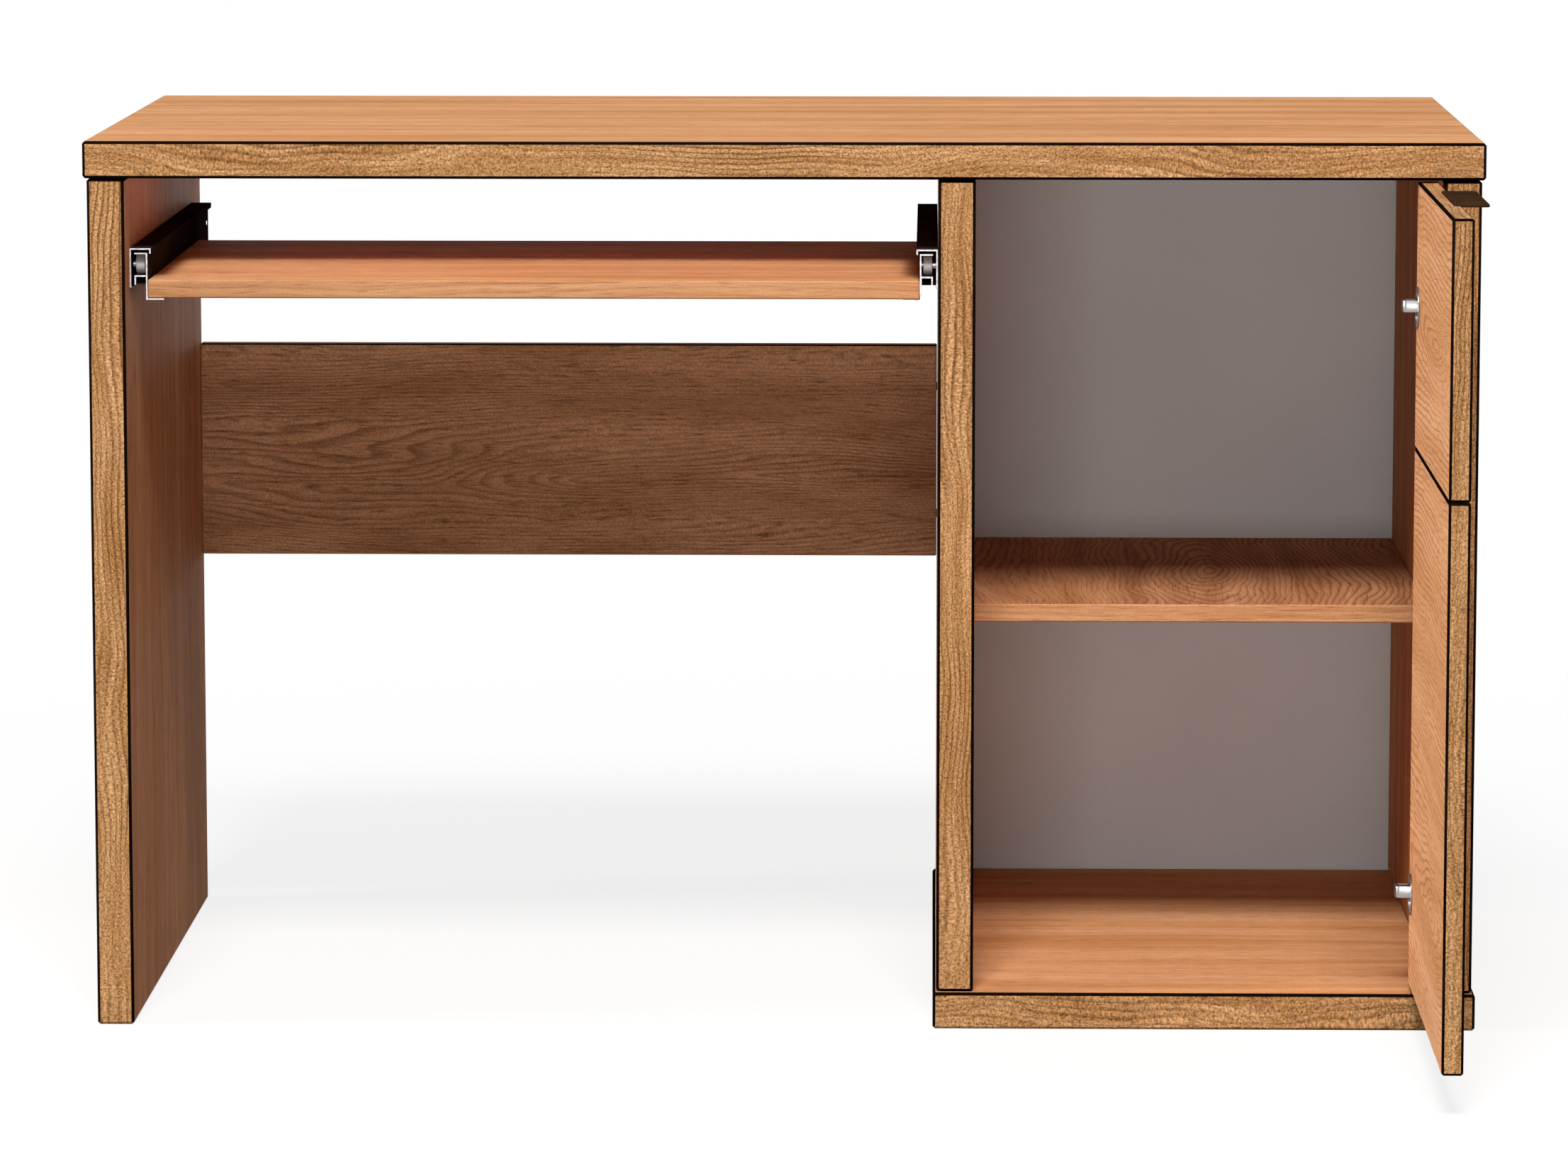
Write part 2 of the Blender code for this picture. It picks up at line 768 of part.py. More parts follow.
def hinge_cup(name, z, leaf, inner, hinge_edge, swing):
    """A pressed cup in the door board, with the pin that the arm turns on."""
    cup_y = hinge_edge - CUP_EDGE - CUP_RADIUS
    mouth = Vector((inner, cup_y, z))
    bore = CUP_RADIUS + SEAT_GAP
    BORES.add(leaf, mouth, (1, 0, 0), CUP_DEPTH + SEAT_GAP, bore, ROUND)
    face = SEAT_GAP
    profile = [
        (0, CUP_WALL - CUP_DEPTH),
        (CUP_RADIUS - CUP_WALL, CUP_WALL - CUP_DEPTH),
        (CUP_RADIUS - CUP_WALL, face + CUP_RIM_PLATE),
        (CUP_RIM, face + CUP_RIM_PLATE),
        (CUP_RIM, face),
        (CUP_RADIUS, face),
        (CUP_RADIUS, -CUP_DEPTH),
        (0, -CUP_DEPTH),
    ]
    turned("hinge_cup_" + name, profile, NICKEL, mouth, (-1, 0, 0), swing)
    start = Vector((0, 0, -HINGE_PIN_HALF))
    rod(
        "hinge_pin_" + name,
        start,
        (0, 0, 1),
        2 * HINGE_PIN_HALF,
        HINGE_PIN_RADIUS,
        NICKEL,
        PIVOT + Vector((0, 0, z)),
        swing,
    )


def hinge_arm(name, z):
    """The cranked arm: an eye on the cup's pin, a neck round the door's edge, a channel body."""
    half = ARM_SHEET / 2
    crank = ARM_CRANK
    back = ARM_CRANK_BACK
    web = ARM_BODY_FACE + half
    tight = ARM_BEND - ARM_SHEET
    ribbon = [
        (0, -half, 0),
        (-crank - half, -half, ARM_BEND),
        (-crank - half, back + half, ARM_BEND),
        (web - half, back + half, tight),
        (web - half, ARM_BODY_END, 0),
        (web + half, ARM_BODY_END, 0),
        (web + half, back - half, ARM_BEND),
        (-crank + half, back - half, tight),
        (-crank + half, half, tight),
        (0, half, 0),
    ]
    at = PIVOT + Vector((0, 0, z))
    arm = extruded(
        "hinge_arm_" + name,
        rounded(ribbon),
        2 * ARM_NECK_HALF,
        NICKEL,
        Matrix.Translation(at),
    )
    up = Vector((0, 0, 1))
    start = at - up * ARM_NECK_HALF
    knuckle = [(start, up, 2 * ARM_NECK_HALF, ARM_EYE, ROUND)]
    eye_name = "hinge_eye_" + name
    boolean(arm, bpy.data.objects.new(eye_name, rod_mesh(eye_name, knuckle)), "UNION")
    wide = ARM_BODY_HALF
    body = [
        (ARM_BODY_FACE, -wide),
        (ARM_BODY_FACE + ARM_CHEEK_DEPTH, -wide),
        (ARM_BODY_FACE + ARM_CHEEK_DEPTH, ARM_CHEEK - wide),
        (ARM_BODY_FACE + ARM_SHEET, ARM_CHEEK - wide),
        (ARM_BODY_FACE + ARM_SHEET, wide - ARM_CHEEK),
        (ARM_BODY_FACE + ARM_CHEEK_DEPTH, wide - ARM_CHEEK),
        (ARM_BODY_FACE + ARM_CHEEK_DEPTH, wide),
        (ARM_BODY_FACE, wide),
    ]
    middle = (ARM_BODY_START + ARM_BODY_END) / 2
    channel = extruded(
        "hinge_channel_" + name,
        body,
        ARM_BODY_END - ARM_BODY_START,
        NICKEL,
        Matrix.Translation(at + Vector((0, middle, 0))) @ Matrix.Rotation(math.pi / 2, 4, "X"),
    )
    boolean(arm, channel, "UNION")
    depth = 2 * ARM_NECK_HALF
    BORES.add(arm, start, up, depth + DOWEL_END_GAP, HINGE_PIN_RADIUS + RUNNING_FIT)


def hinge_plate(name, z):
    """The mounting plate on the side panel: two wings and the rail that the arm sits over."""
    panel_face = PIN_FROM_PANEL - SEAT_GAP
    low = (
        PIVOT.x + panel_face - PLATE_SHEET,
        PIVOT.y + PLATE_CENTRE - PLATE_WIDTH / 2,
        z - PLATE_HALF,
    )
    high = (
        PIVOT.x + panel_face,
        PIVOT.y + PLATE_CENTRE + PLATE_WIDTH / 2,
        z + PLATE_HALF,
    )
    plate = board("hinge_plate_" + name, low, high, NICKEL, PLATE_CHAMFER)
    rail_face = ARM_BODY_FACE + ARM_SHEET + SEAT_GAP
    low = (
        PIVOT.x + rail_face,
        PIVOT.y + PLATE_RAIL_START,
        z - PLATE_RAIL_HALF,
    )
    high = (
        PIVOT.x + panel_face - PLATE_SHEET / 2,
        PIVOT.y + PLATE_RAIL_END,
        z + PLATE_RAIL_HALF,
    )
    boolean(plate, cutter_box("hinge_rail_" + name, low, high), "UNION")


def main():
    carcass()
    slides()
    swing = axis_empty("door_hinge_axis", PIVOT)
    door(swing)
    for name, z in HINGE_HEIGHTS.items():
        hinge_arm(name, z)
        hinge_plate(name, z)
    BORES.cut()


main()
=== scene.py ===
import json
import math

import bmesh
import bpy
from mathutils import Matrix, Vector


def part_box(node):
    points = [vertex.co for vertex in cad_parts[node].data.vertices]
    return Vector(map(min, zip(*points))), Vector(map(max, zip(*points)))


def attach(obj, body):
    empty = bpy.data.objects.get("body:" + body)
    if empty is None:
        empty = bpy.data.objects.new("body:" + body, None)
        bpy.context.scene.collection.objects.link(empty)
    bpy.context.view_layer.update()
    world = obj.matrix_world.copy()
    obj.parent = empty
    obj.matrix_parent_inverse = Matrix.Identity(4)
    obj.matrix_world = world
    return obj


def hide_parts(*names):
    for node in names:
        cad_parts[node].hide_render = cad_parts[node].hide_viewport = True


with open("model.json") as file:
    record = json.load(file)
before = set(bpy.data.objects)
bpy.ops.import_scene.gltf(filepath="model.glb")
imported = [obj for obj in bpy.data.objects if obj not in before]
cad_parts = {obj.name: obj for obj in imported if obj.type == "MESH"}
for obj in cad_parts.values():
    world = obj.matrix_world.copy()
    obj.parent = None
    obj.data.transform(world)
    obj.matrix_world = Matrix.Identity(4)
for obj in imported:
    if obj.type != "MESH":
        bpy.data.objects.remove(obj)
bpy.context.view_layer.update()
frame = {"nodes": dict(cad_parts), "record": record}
scene = bpy.context.scene
nodeBody = {
    node: body
    for body, nodes in frame["record"]["behaviour"]["bodies"].items()
    for node in nodes
}

millimetre = 0.001
resinIndex = 1.5  # IOR of melamine, lacquer, nylon and wood fibre, which all lie near this


def linear(hexColour):
    parts = [int(hexColour[i:i + 2], 16) / 255 for i in (1, 3, 5)]
    return tuple(p / 12.92 if p <= 0.04045 else ((p + 0.055) / 1.055) ** 2.4 for p in parts) + (1.0,)


def addNode(tree, kind, links=None, values=None, **settings):
    node = tree.nodes.new(kind)
    for name, value in settings.items():
        setattr(node, name, value)
    for socket, value in (values or {}).items():
        node.inputs[socket].default_value = value
    for socket, source in (links or {}).items():
        tree.links.new(source, node.inputs[socket])
    return node


def startMaterial(name, values):
    material = bpy.data.materials.new(name)
    material.use_nodes = True
    tree = material.node_tree
    shader = tree.nodes["Principled BSDF"]
    for socket, value in values.items():
        shader.inputs[socket].default_value = value
    return material, tree, shader


# the two ends of a range, as Map Range names them
def ends(low, high, side="From"):
    return {side + " Min": low, side + " Max": high}


# how often a pattern of this length and width in millimetres repeats in a metre
def repeats(length, width):
    return (1 / (length * millimetre), 1 / (width * millimetre), 1)


# Printed wood decor: growth rings drawn round a heart line that dips along the board, which makes
# arches in the middle and straight lines at the sides, with short dark pores between them.
# The pores are drawn about twice as coarse as real ones, so that they show from six metres.
printing = {
    "waves": {"Scale": 1, "Detail": 2.5, "Roughness": 0.45},
    "pores": {"Scale": 1, "Detail": 1.5, "Roughness": 0.6}, "poreEnds": (0.50, 0.74),
    "patches": {"Scale": 1, "Detail": 3, "Roughness": 0.6}, "patchEnds": (0.34, 0.68),
    "specks": {"Detail": 2, "Roughness": 0.6}, "speckEnds": (0.3, 0.7),
    "ringEnds": (0.36, 0.62),  # of the slow wave that makes some rings fainter
    "ringPeak": 0.88,  # share of a year's growth at which a ring is darkest
    "poreDulls": 0.14,  # roughness that a pore adds
    "depth": 0.15,  # of pores and rings in the pressed sheet, in millimetres
}


def grainDecor(look):
    material, tree, shader = startMaterial(
        look["name"], {"IOR": resinIndex, "Specular IOR Level": look["gloss"]}
    )
    spot = addNode(tree, "ShaderNodeAttribute", attribute_name="grain")  # along, across, board number
    axes = addNode(tree, "ShaderNodeSeparateXYZ", {0: spot.outputs["Vector"]})
    # slow waves push the lines sideways and the heart line up and down
    slow = addNode(
        tree, "ShaderNodeVectorMath", {0: spot.outputs["Vector"]},
        {1: repeats(look["waveLength"], look["waveWidth"])}, operation="MULTIPLY",
    )
    wander = addNode(tree, "ShaderNodeTexNoise", {"Vector": slow.outputs[0]}, printing["waves"])
    waves = addNode(tree, "ShaderNodeSeparateColor", {0: wander.outputs["Color"]})
    across = addNode(
        tree, "ShaderNodeMath", {0: waves.outputs[0], 2: axes.outputs[1]},
        {1: look["wander"] * millimetre}, operation="MULTIPLY_ADD",
    )
    dip = addNode(
        tree, "ShaderNodeMath", {0: waves.outputs[1]},
        {1: look["dip"] * millimetre, 2: -look["dip"] * millimetre / 2}, operation="MULTIPLY_ADD",
    )
    depth = addNode(
        tree, "ShaderNodeMath", {0: axes.outputs[0], 2: dip.outputs[0]}, {1: look["taper"]},
        operation="MULTIPLY_ADD",
    )
    section = addNode(tree, "ShaderNodeCombineXYZ", {0: across.outputs[0], 1: depth.outputs[0]})
    # each ring darkens slowly to its peak, then falls off at once
    radius = addNode(tree, "ShaderNodeVectorMath", {0: section.outputs[0]}, operation="LENGTH")
    years = addNode(
        tree, "ShaderNodeMath", {0: radius.outputs["Value"]}, {1: look["ringGap"] * millimetre},
        operation="DIVIDE",
    )
    season = addNode(tree, "ShaderNodeMath", {0: years.outputs[0]}, operation="FRACT")
    late = addNode(
        tree, "ShaderNodeMapRange", {"Value": season.outputs[0]},
        ends(look["ringStart"], printing["ringPeak"]), interpolation_type="SMOOTHSTEP",
    )
    spring = addNode(
        tree, "ShaderNodeMapRange", {"Value": season.outputs[0]},
        ends(printing["ringPeak"], 1.0) | ends(1.0, 0.0, "To"), interpolation_type="SMOOTHSTEP",
    )
    ring = addNode(tree, "ShaderNodeMath", {0: late.outputs[0], 1: spring.outputs[0]}, operation="MULTIPLY")
    # pores and patches follow the bent lines
    flow = addNode(
        tree, "ShaderNodeCombineXYZ", {0: axes.outputs[0], 1: across.outputs[0], 2: axes.outputs[2]}
    )
    fine = addNode(
        tree, "ShaderNodeVectorMath", {0: flow.outputs[0]},
        {1: repeats(look["poreLength"], look["poreWidth"])}, operation="MULTIPLY",
    )
    pores = addNode(tree, "ShaderNodeTexNoise", {"Vector": fine.outputs[0]}, printing["pores"])
    pore = addNode(
        tree, "ShaderNodeMapRange", {"Value": pores.outputs[0]}, ends(*printing["poreEnds"]),
        interpolation_type="SMOOTHSTEP",
    )
    patch = addNode(
        tree, "ShaderNodeVectorMath", {0: flow.outputs[0]},
        {1: repeats(look["patchLength"], look["patchWidth"])}, operation="MULTIPLY",
    )
    patches = addNode(tree, "ShaderNodeTexNoise", {"Vector": patch.outputs[0]}, printing["patches"])
    tone = addNode(
        tree, "ShaderNodeMapRange", {"Value": patches.outputs[0]}, ends(*printing["patchEnds"])
    )
    ground = addNode(
        tree, "ShaderNodeMix", {0: tone.outputs[0]},
        {6: linear(look["light"]), 7: linear(look["deep"])}, data_type="RGBA",
    )
    uneven = addNode(
        tree, "ShaderNodeMapRange", {"Value": waves.outputs[2]},
        ends(*printing["ringEnds"]) | ends(look["ringLeast"], look["ringMost"], "To"),
    )
    ringShare = addNode(
        tree, "ShaderNodeMath", {0: ring.outputs[0], 1: uneven.outputs[0]}, operation="MULTIPLY"
    )
    ringed = addNode(
        tree, "ShaderNodeMix", {0: ringShare.outputs[0], 6: ground.outputs[2]},
        {7: linear(look["ring"])}, data_type="RGBA",
    )
    poreShare = addNode(
        tree, "ShaderNodeMath", {0: pore.outputs[0]}, {1: look["poreShare"]}, operation="MULTIPLY"
    )
    pored = addNode(
        tree, "ShaderNodeMix", {0: poreShare.outputs[0], 6: ringed.outputs[2]},
        {7: linear(look["pore"])}, data_type="RGBA",
    )
    # a fine speckle over all, as the print's dots give
    dots = addNode(
        tree, "ShaderNodeTexNoise", {"Vector": flow.outputs[0]},
        printing["specks"] | {"Scale": 1 / (look["speck"] * millimetre)},
    )
    dotTone = addNode(
        tree, "ShaderNodeMapRange", {"Value": dots.outputs[0]},
        ends(*printing["speckEnds"]) | ends(1 - look["speckShare"], 1 + look["speckShare"], "To"),
    )
    specked = addNode(
        tree, "ShaderNodeVectorMath", {0: pored.outputs[2], 3: dotTone.outputs[0]}, operation="SCALE"
    )
    tree.links.new(specked.outputs[0], shader.inputs["Base Color"])
    rough = addNode(
        tree, "ShaderNodeMath", {0: pore.outputs[0]}, {1: printing["poreDulls"], 2: look["roughness"]},
        operation="MULTIPLY_ADD",
    )
    tree.links.new(rough.outputs[0], shader.inputs["Roughness"])
    relief = addNode(
        tree, "ShaderNodeMath", {0: pore.outputs[0], 1: ring.outputs[0]}, operation="ADD"
    )
    bump = addNode(
        tree, "ShaderNodeBump", {"Height": relief.outputs[0]},
        {"Strength": look["bump"], "Distance": printing["depth"] * millimetre}, invert=True,
    )
    tree.links.new(bump.outputs[0], shader.inputs["Normal"])
    return material


# Lengths, widths and gaps of the prints are in millimetres.
# Melamine-faced board with an orange alder print, satin pressed: calm, broad streaks
alderLook = {
    "name": "alder_melamine_satin_pressed",
    "light": "#E8AE7F", "deep": "#C88852", "ring": "#A05F2F", "pore": "#824822",
    "ringGap": 7.0, "ringStart": 0.25, "ringLeast": 0.08, "ringMost": 0.48,
    "taper": 0.055, "dip": 46, "wander": 40,
    "waveLength": 420, "waveWidth": 120,
    "poreLength": 26, "poreWidth": 1.3, "poreShare": 0.48,
    "patchLength": 700, "patchWidth": 42,
    "speck": 1.5, "speckShare": 0.1,
    "roughness": 0.72, "gloss": 0.04, "bump": 0.2,
}
# The same print on the standing boards, pressed deeper, with long dark pore lines; its ground is drawn
# darker and its lines stronger than on the top, painted shade for boards that mostly stand in shade
figuredLook = dict(
    alderLook, name="alder_melamine_deep_pressed",
    light="#DDA071", deep="#C28354", ring="#854A26", pore="#532A12",
    ringGap=4.4, ringLeast=0.15, ringMost=0.7, taper=0.09, dip=80, wander=70,
    waveLength=420, waveWidth=80, poreLength=40, poreWidth=1.3, poreShare=0.66,
    patchLength=620, patchWidth=34, bump=0.6, speckShare=0.16, gloss=0.06,
)
# The rear panel's sheet, with flat flames along the middle, drawn browner and darker than the standing
# boards: painted shade for the deep shade under the top
flameLook = dict(
    figuredLook, name="alder_melamine_shade_darkened_pressed",
    light="#E0A97F", deep="#B27C54", ring="#6A3818", pore="#3C1C0A", taper=0.07, dip=70,
    ringGap=3.6, ringStart=0.3, ringLeast=0.18, ringMost=0.52, waveLength=400, waveWidth=60, wander=46,
    poreLength=18, poreWidth=1.3, poreShare=0.5, speck=1.5, speckShare=0.3, patchLength=300, patchWidth=60,
)
# The shelf is cut across: its arches close to long rings; its ground is drawn darker than the standing
# boards, painted shade for the shelf inside the cabinet
archLook = dict(
    figuredLook, name="alder_melamine_arched_pressed", light="#D0956A", deep="#A96E45",
    ringGap=6.0, ringStart=0.35, ringLeast=0.18, ringMost=0.6, taper=0.22, dip=120, wander=100,
    waveLength=310, waveWidth=150, poreShare=0.5, ring="#6E3A18",
)
# The door's boards, light, with clearly drawn arches
doorLook = dict(
    alderLook, name="alder_melamine_open_pressed", light="#E8AE80", deep="#CF9262",
    ringGap=6.0, ringStart=0.45, ringLeast=0.2, ringMost=0.6, taper=0.12, dip=90, wander=42,
    waveLength=300, waveWidth=100, poreShare=0.5, speckShare=0.12, bump=0.35,
)
# Thin boards carry an edge band of the same print, drawn a shade deeper than the faces: painted shade, so
# that their front sides don't read brighter than the top
bandLook = dict(
    alderLook, name="alder_edge_band_embossed", light="#D6A175", deep="#BF8659",
    patchLength=300, patchWidth=7,
)
# Oak edge band, ochre, with uneven wavy lines and a grainy speckle
oakLook = {
    "name": "oak_edge_band_embossed",
    "light": "#CD9C6B", "deep": "#A47344", "ring": "#5C3917", "pore": "#603C1B",
    "ringGap": 5.0, "ringStart": 0.4, "ringLeast": 0.12, "ringMost": 0.78,
    "taper": 0.03, "dip": 40, "wander": 58,
    "waveLength": 240, "waveWidth": 90,
    "poreLength": 6, "poreWidth": 1.2, "poreShare": 0.55,
    "patchLength": 120, "patchWidth": 9,
    "speck": 1.8, "speckShare": 0.6,
    "roughness": 0.7, "gloss": 0.05, "bump": 0.5,
}
alderFace = grainDecor(alderLook)
figuredFace = grainDecor(figuredLook)
flameFace = grainDecor(flameLook)
archFace = grainDecor(archLook)
doorFace = grainDecor(doorLook)
alderEdge = grainDecor(bandLook)
oakEdge = grainDecor(oakLook)
print("wood prints made")


# Finishes without a direction: a plain ground, with a slow mottle and a fine grit that change its colour
# and gloss, and the grit its relief. mottle, grit and relief are in millimetres.
finishing = {"mottleDetail": 3, "gritDetail": 2, "ends": (0.7, 1.3)}  # ends: of the two noises' sum


def plainFinish(look):
    values = {"Metallic": 1.0} if look.get("metal") else {"IOR": resinIndex}
    if "gloss" in look:
        values["Specular IOR Level"] = look["gloss"]
    material, tree, shader = startMaterial(look["name"], values)
    place = addNode(tree, "ShaderNodeTexCoord")
    mottle = addNode(
        tree, "ShaderNodeTexNoise", {"Vector": place.outputs["Object"]},
        {"Scale": 1 / (look["mottle"] * millimetre), "Detail": finishing["mottleDetail"]},
    )
    stretch = addNode(
        tree, "ShaderNodeMapping", {"Vector": place.outputs["Object"]},
        {"Scale": look.get("brush", (1, 1, 1))},
    )
    grit = addNode(
        tree, "ShaderNodeTexNoise", {"Vector": stretch.outputs[0]},
        {"Scale": 1 / (look["grit"] * millimetre), "Detail": finishing["gritDetail"]},
    )
    blend = addNode(
        tree, "ShaderNodeMath", {0: mottle.outputs[0], 1: grit.outputs[0]}, operation="ADD"
    )
    share = addNode(
        tree, "ShaderNodeMapRange", {"Value": blend.outputs[0]}, ends(*finishing["ends"])
    )
    colour = addNode(
        tree, "ShaderNodeMix", {0: share.outputs[0]},
        {6: linear(look["light"]), 7: linear(look["deep"])}, data_type="RGBA",
    )
    tree.links.new(colour.outputs[2], shader.inputs["Base Color"])
    rough = addNode(
        tree, "ShaderNodeMapRange", {"Value": blend.outputs[0]},
        ends(*finishing["ends"]) | ends(*look["roughness"], "To"),
    )
    tree.links.new(rough.outputs[0], shader.inputs["Roughness"])
    bump = addNode(
        tree, "ShaderNodeBump", {"Height": grit.outputs[0]},
        {"Strength": look["bump"], "Distance": look["relief"] * millimetre},
    )
    tree.links.new(bump.outputs[0], shader.inputs["Normal"])
    return material


finishes = {
    # black-brown lacquer on the rounded board edges, dead matt, so the lines stay dark from every side
    "edgeLacquer": {
        "name": "black_brown_lacquer_sprayed", "light": "#17100C", "deep": "#0B0605", "gloss": 0.0,
        "mottle": 60, "grit": 1.2, "roughness": (0.6, 0.75), "bump": 0.05, "relief": 0.02,
    },
    # cut chipboard inside the bores and notches, coarse and dull
    "chipboard": {
        "name": "chipboard_cut", "light": "#B98F5E", "deep": "#7F5A35",
        "mottle": 6, "grit": 1.5, "roughness": (0.8, 0.95), "bump": 0.6, "relief": 0.3,
    },
    # thin hardboard, its face lacquered a pale cool grey, which the shade of the cabinet turns to mid grey
    "hardboardFace": {
        "name": "hardboard_grey_lacquered", "light": "#E8F0F2", "deep": "#E0E8EA", "gloss": 0.2,
        "mottle": 160, "grit": 1.6, "roughness": (0.52, 0.64), "bump": 0.08, "relief": 0.05,
    },
    # its raw rear side, brown pressed fibre
    "hardboardRear": {
        "name": "hardboard_raw_pressed", "light": "#94704C", "deep": "#735236",
        "mottle": 30, "grit": 1.1, "roughness": (0.75, 0.9), "bump": 0.4, "relief": 0.12,
    },
    # rails rolled from strip and powder coated black, matt, with a faint orange peel; the black is drawn as
    # a dark grey, a painted sheen that gives them form in the shade
    "powderCoat": {
        "name": "steel_black_powder_coated", "light": "#3B3335", "deep": "#2A2325", "gloss": 0.0,
        "mottle": 40, "grit": 0.9, "roughness": (0.6, 0.72), "bump": 0.12, "relief": 0.03,
    },
    # sawn ends of the rails, bare and bright
    "cutSteel": {
        "name": "steel_sawn_bright", "light": "#BDB6B6", "deep": "#948D8D", "metal": True,
        "mottle": 3, "grit": 0.4, "roughness": (0.3, 0.45), "bump": 0.15, "relief": 0.02,
    },
    # moulded nylon wheels with a dull sheen, their grey drawn light: painted light, so that they read lit in
    # the shade under the top
    "nylon": {
        "name": "nylon_grey_moulded", "light": "#CFC8CA", "deep": "#B5AEB0",
        "mottle": 12, "grit": 0.6, "roughness": (0.38, 0.5), "bump": 0.08, "relief": 0.02,
    },
    # zinc plate on pins, axles, screws and nails, bright with a fine bloom
    "zinc": {
        "name": "steel_zinc_plated", "light": "#DAD8D4", "deep": "#B7B5B0", "metal": True,
        "mottle": 4, "grit": 0.5, "roughness": (0.24, 0.4), "bump": 0.1, "relief": 0.01,
    },
    # hinges pressed from steel and nickel plated, a soft grey
    "nickel": {
        "name": "steel_nickel_plated", "light": "#AEABAB", "deep": "#918E8E", "metal": True,
        "mottle": 14, "grit": 0.5, "roughness": (0.26, 0.38), "bump": 0.06, "relief": 0.01,
    },
    # pull plate, brushed along its length and lacquered dark brown, matt
    "brownPlate": {
        "name": "zamak_brown_lacquered", "light": "#46301F", "deep": "#332115", "gloss": 0.0,
        "mottle": 20, "grit": 0.8, "brush": (1, 0.05, 1), "roughness": (0.5, 0.62),
        "bump": 0.12, "relief": 0.02,
    },
    # turned beech dowels, dry and pale
    "beech": {
        "name": "beech_turned", "light": "#CDA878", "deep": "#B58C5C",
        "mottle": 5, "grit": 0.8, "roughness": (0.6, 0.75), "bump": 0.3, "relief": 0.05,
    },
}
finish = {key: plainFinish(look) for key, look in finishes.items()}
print("plain finishes made:", len(finish))

meshing = {
    "merge": 0.02 * millimetre,  # points closer than this are one
    "flat": math.radians(0.2),  # faces that meet flatter than this are one
    "roundSteps": 2,  # facets across a rounded edge
    "squarely": 0.9,  # share of a face's normal from which it counts as facing along an axis
}


def mergeDoubles(shape):
    bmesh.ops.remove_doubles(shape, verts=shape.verts, dist=meshing["merge"])


def takeNode(node):
    shape = bmesh.new()
    shape.from_mesh(frame["nodes"][node].data)
    mergeDoubles(shape)
    bmesh.ops.dissolve_limit(
        shape, angle_limit=meshing["flat"], verts=shape.verts, edges=shape.edges
    )
    shape.normal_update()
    return shape


def roundEdges(shape, edges, width):
    made = bmesh.ops.bevel(
        shape, geom=edges, offset=width, segments=meshing["roundSteps"], profile=0.5,
        affect="EDGES", clamp_overlap=True, offset_type="OFFSET",
    )
    return made["faces"]


def givePiece(name, shape, materials, node):
    mesh = bpy.data.meshes.new(name)
    shape.to_mesh(mesh)
    shape.free()
    for material in materials:
        mesh.materials.append(material)
    piece = bpy.data.objects.new(name, mesh)
    scene.collection.objects.link(piece)
    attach(piece, nodeBody[node])
    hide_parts(node)
    return piece


# Boards. face: the print of its two large sides; grain: axis of that print; thick: axis through the board;
# heart and apex: where the arches of the print lie, across and along, in metres from the board's middle;
# edge: what its narrow sides carry; line: which of its rounded edges are lacquered dark.
boards = {
    "desk_top": {
        "face": alderFace, "grain": "x", "thick": "z", "heart": -0.08, "apex": -0.25,
        "edge": oakEdge, "line": "all",
    },
    "left_side_panel": {
        "face": figuredFace, "grain": "z", "thick": "x", "heart": 0.05, "apex": 0.1,
        "edge": oakEdge, "line": "raised",
    },
    "centre_panel": {
        "face": figuredFace, "grain": "z", "thick": "x", "heart": -0.03, "apex": -0.1,
        "edge": oakEdge, "line": "all",
    },
    "right_side_panel": {
        "face": figuredFace, "grain": "z", "thick": "x", "heart": 0.08, "apex": 0.2,
        "edge": oakEdge, "line": "all",
    },
    "base_board": {
        "face": alderFace, "grain": "x", "thick": "z", "heart": 0.06, "apex": 0.1,
        "edge": oakEdge, "line": "raised",
    },
    "modesty_panel": {
        "face": flameFace, "grain": "x", "thick": "y", "heart": 0.0, "apex": 0.12,
        "edge": alderEdge, "line": "top",
    },
    "cabinet_shelf": {
        "face": archFace, "grain": "y", "thick": "z", "heart": 0.06, "apex": -0.02,
        "edge": alderEdge, "line": "none",
    },
    "keyboard_tray": {
        "face": alderFace, "grain": "x", "thick": "z", "heart": -0.12, "apex": 0.2,
        "edge": alderEdge, "line": "none",
    },
    "door_upper_board": {
        "face": doorFace, "grain": "y", "thick": "x", "heart": 0.02, "apex": 0.05,
        "edge": oakEdge, "line": "all",
    },
    "door_lower_board": {
        "face": doorFace, "grain": "y", "thick": "x", "heart": -0.1, "apex": -0.08,
        "edge": oakEdge, "line": "all",
    },
}
boardEdge = {
    "reach": 2.6 * millimetre,  # how far from the board's outer planes a rounded edge may lie
    "flush": 0.05 * millimetre,  # how far from an outer plane a flat side may lie
    "square": 0.999,  # least share of a flat side's normal along its axis
    "soften": 0.5 * millimetre,  # rounding put on both sides of each chamfer
    "bandOffset": 0.07,  # the bands are cut this far from their heart line, in metres
    "seedStep": 3.17, "seedByAxis": 0.31, "seedBySide": 0.13,  # no two sides show the same piece of print
}
faceSide, edgeSide, lineSide, cutSide = range(4)  # a board's material slots


def mainAxis(face):
    return max(range(3), key=lambda i: abs(face.normal[i]))


def edgeMaterial(face, low, high, line):
    height = face.calc_center_median().z
    lacquered = {
        "all": True,
        "raised": height > low.z + boardEdge["reach"],
        "top": height > high.z - boardEdge["reach"],
        "none": False,
    }
    return lineSide if lacquered[line] else edgeSide


